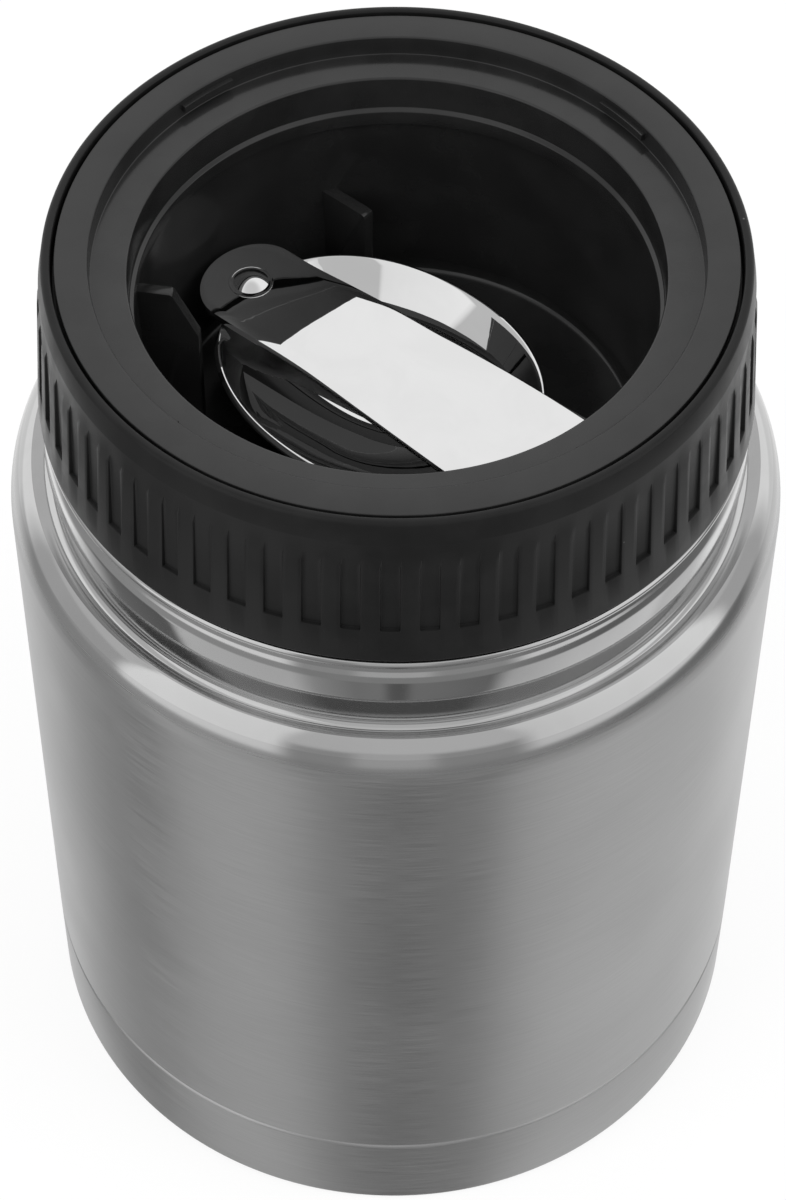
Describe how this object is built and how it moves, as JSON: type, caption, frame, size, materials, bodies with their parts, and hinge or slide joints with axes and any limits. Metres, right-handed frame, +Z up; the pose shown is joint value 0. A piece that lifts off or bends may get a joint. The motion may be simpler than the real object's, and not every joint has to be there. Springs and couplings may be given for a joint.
{
  "type": "insulated food jar",
  "caption": "Wide-mouth vacuum food jar in brushed steel with a ribbed black screw lid and a folding steel spoon stored in the lid's round compartment.",
  "frame": {"origin": "centre of the base, on the surface that the jar stands on", "axes": "+Z up along the jar's axis, -Y towards the front, +X to the right"},
  "size_m": [0.1, 0.1, 0.1457],
  "materials": {
    "brushed_steel": "satin, brushed round the body",
    "liner_steel": "electropolished",
    "polished_steel": "mirror polished steel",
    "copper_foil": "bright copper foil",
    "getter": "pressed powder",
    "solder_glass": "dark solder glass",
    "lid_plastic": "black, satin on the flange and glossier in the compartment",
    "collar_plastic": "black, satin",
    "foam": "light closed-cell foam",
    "silicone": "translucent white silicone"
  },
  "bodies": {
    "jar": {"outer_shell": "brushed_steel", "base_cup": "brushed_steel", "inner_vessel": "liner_steel", "radiation_foil": "copper_foil", "getter_holder": "liner_steel", "getter_pellet": "getter", "seal_off_bead": "solder_glass", "base_cover": "brushed_steel"},
    "lid": {"lid_insert": "lid_plastic", "lid_plug": "lid_plastic", "foam_core": "foam", "lid_gasket": "silicone"},
    "collar": {"lid_collar": "collar_plastic"},
    "spoon": {"spoon_bowl": "polished_steel", "spoon_rivet": "polished_steel"},
    "handle": {"spoon_handle": "polished_steel"}
  },
  "joints": [
    {"name": "lid_lift", "type": "slide", "parent": "jar", "child": "lid", "axis": [0, 0, 1], "range_m": [0, 0.06]},
    {"name": "collar_turn", "type": "hinge", "parent": "lid", "child": "collar", "pos_m": [0, 0, 0.134], "axis": [0, 0, 1], "range_deg": [0, 3600]},
    {"name": "spoon_lift", "type": "slide", "parent": "lid", "child": "spoon", "axis": [0, 0, 1], "range_m": [0, 0.2]},
    {"name": "handle_swivel", "type": "hinge", "parent": "spoon", "child": "handle", "pos_m": [-0.01883, 0.01631, 0.1219], "axis": [0, 0, 1], "range_deg": [0, 180]}
  ],
  "couplings": [
    {"joint": "lid_lift", "follows": "collar_turn", "m_per_rad": 0.00095493},
    {"joint": "handle_swivel", "follows": "spoon_lift", "rad_per_m": 15.708}
  ]
}
